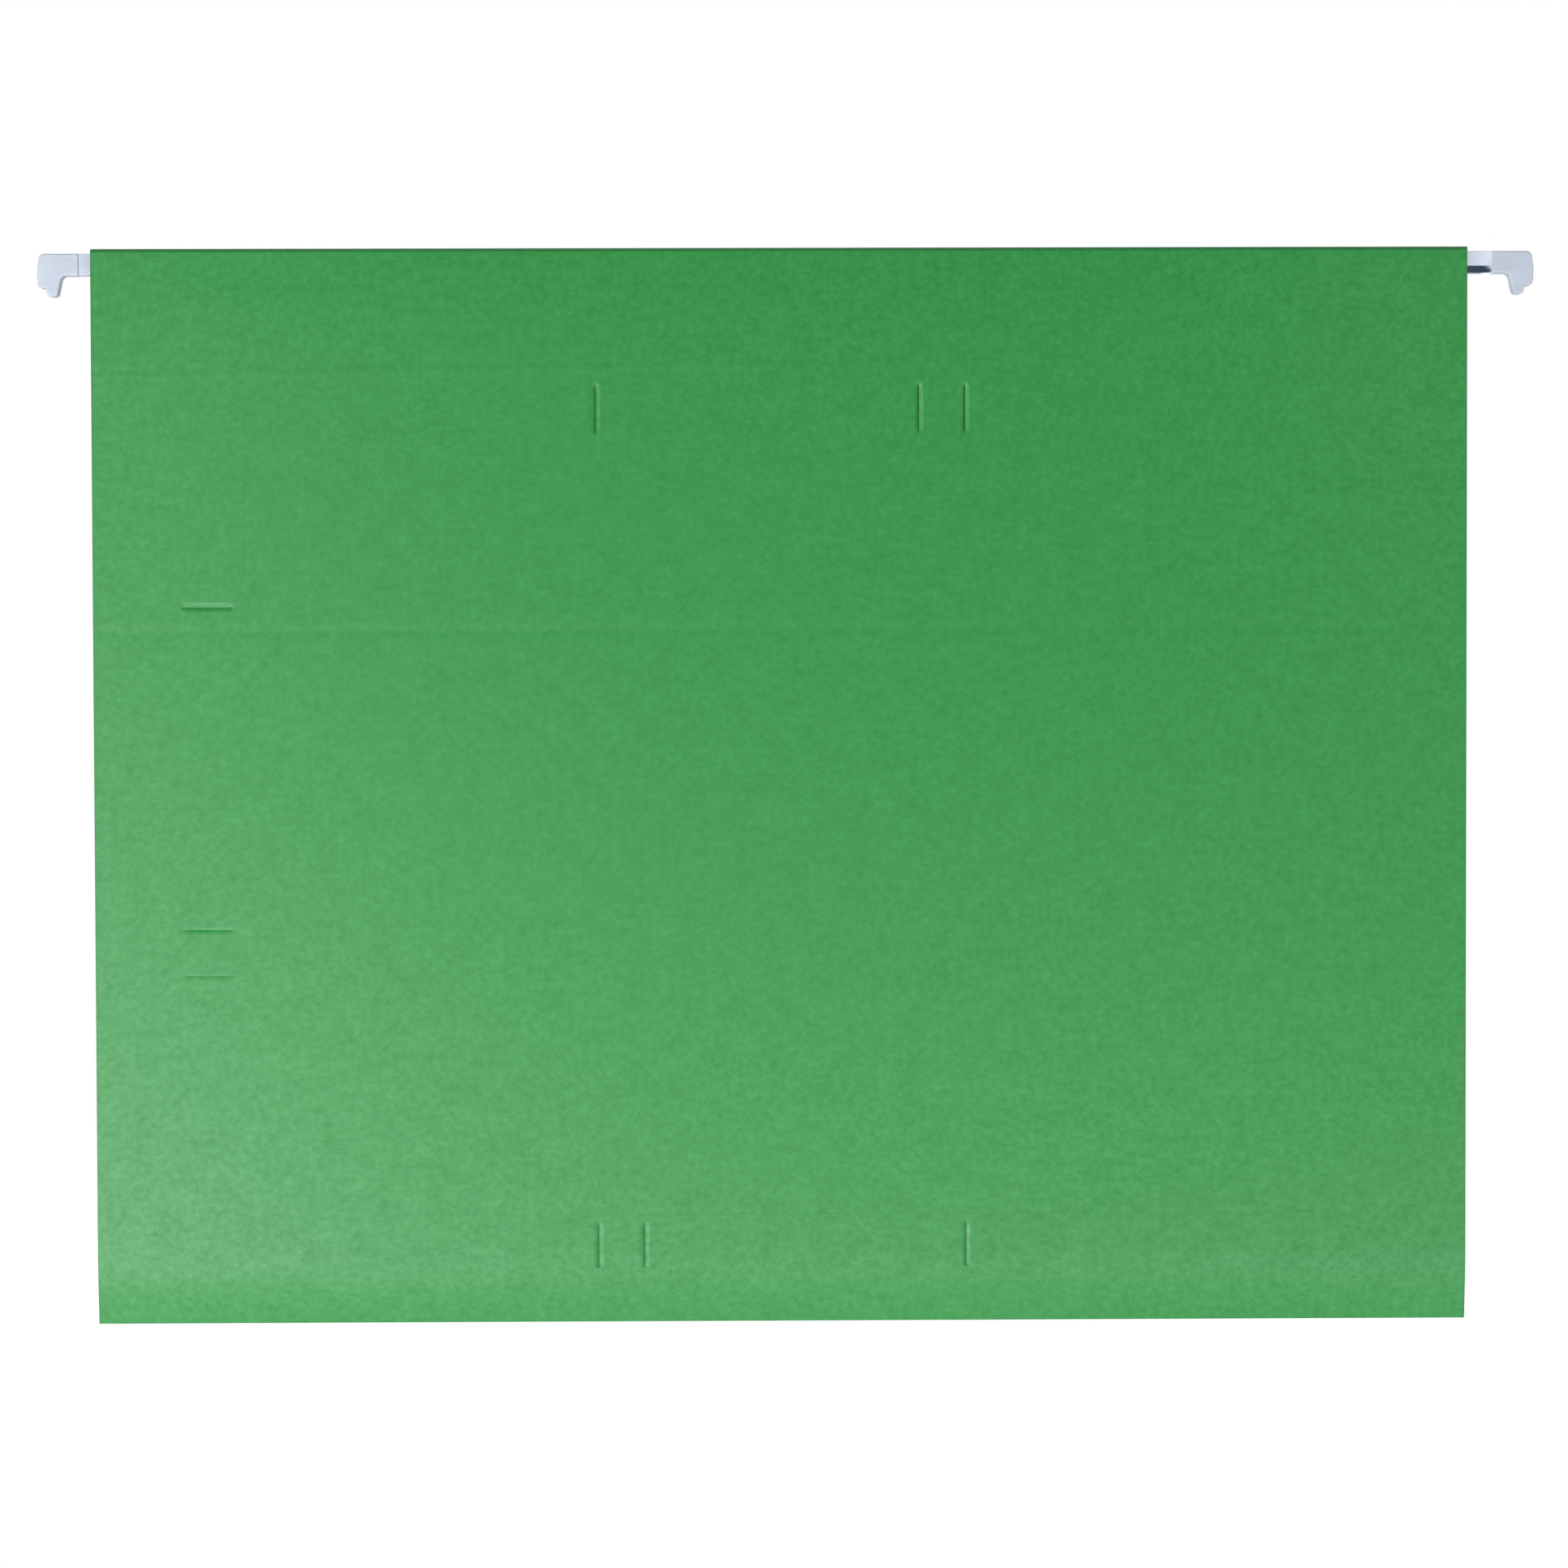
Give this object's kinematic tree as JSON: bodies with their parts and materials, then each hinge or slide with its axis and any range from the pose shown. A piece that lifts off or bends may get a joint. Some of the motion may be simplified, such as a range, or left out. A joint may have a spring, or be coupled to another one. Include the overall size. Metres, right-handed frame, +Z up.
{
  "type": "hanging file folder",
  "caption": "Hanging file folder of green card with hemmed leaves on flat steel rods, moulded rail hooks, fastener slits and a scored bottom that folds out flat.",
  "frame": {"origin": "midway between the four hook seats, on the plane where the rails carry them", "axes": "+X to the right along the rods seen from the front, +Y to the rear, +Z up"},
  "size_m": [0.324, 0.0038, 0.233],
  "materials": {
    "card": "matte dyed card",
    "rod_steel": "bright plated",
    "hook_plastic": "satin moulded",
    "hem_glue": "dried glue"
  },
  "bodies": {
    "rear_rail": {"rear_rod": "rod_steel", "rear_left_hook": "hook_plastic", "rear_right_hook": "hook_plastic"},
    "rear_leaf": {"rear_leaf": "card", "rear_hem_glue": "hem_glue"},
    "rear_gusset": {"rear_gusset": "card"},
    "front_gusset": {"front_gusset": "card"},
    "front_skirt": {"front_skirt": "card"},
    "front_leaf": {"front_leaf": "card", "front_hem_glue": "hem_glue"},
    "front_rail": {"front_rod": "rod_steel", "front_left_hook": "hook_plastic", "front_right_hook": "hook_plastic"}
  },
  "joints": [
    {"name": "rear_hem_slide", "type": "slide", "parent": "rear_rail", "child": "rear_leaf", "axis": [1, 0, 0], "range_m": [-0.0024, 0.0053]},
    {"name": "rear_score_turn", "type": "hinge", "parent": "rear_leaf", "child": "rear_gusset", "pos_m": [0, 0.0015, -0.21619], "axis": [-1, 0, 0], "range_deg": [0, 82.3]},
    {"name": "bottom_fold_open", "type": "hinge", "parent": "rear_gusset", "child": "front_gusset", "pos_m": [0, 0, -0.22729], "axis": [1, 0, 0], "range_deg": [0, 164.6]},
    {"name": "front_score_turn", "type": "hinge", "parent": "front_gusset", "child": "front_skirt", "pos_m": [0, -0.0015, -0.21619], "axis": [-1, 0, 0], "range_deg": [0, 82.3]},
    {"name": "front_leaf_open", "type": "hinge", "parent": "front_skirt", "child": "front_leaf", "pos_m": [0, -0.002, -0.20369], "axis": [1, 0, 0], "range_deg": [0, 180]},
    {"name": "front_rod_slide", "type": "slide", "parent": "front_leaf", "child": "front_rail", "axis": [1, 0, 0], "range_m": [-0.0053, 0.0024]}
  ],
  "couplings": [
    {"joint": "rear_score_turn", "follows": "bottom_fold_open", "ratio": 0.5},
    {"joint": "front_score_turn", "follows": "bottom_fold_open", "ratio": 0.5}
  ]
}
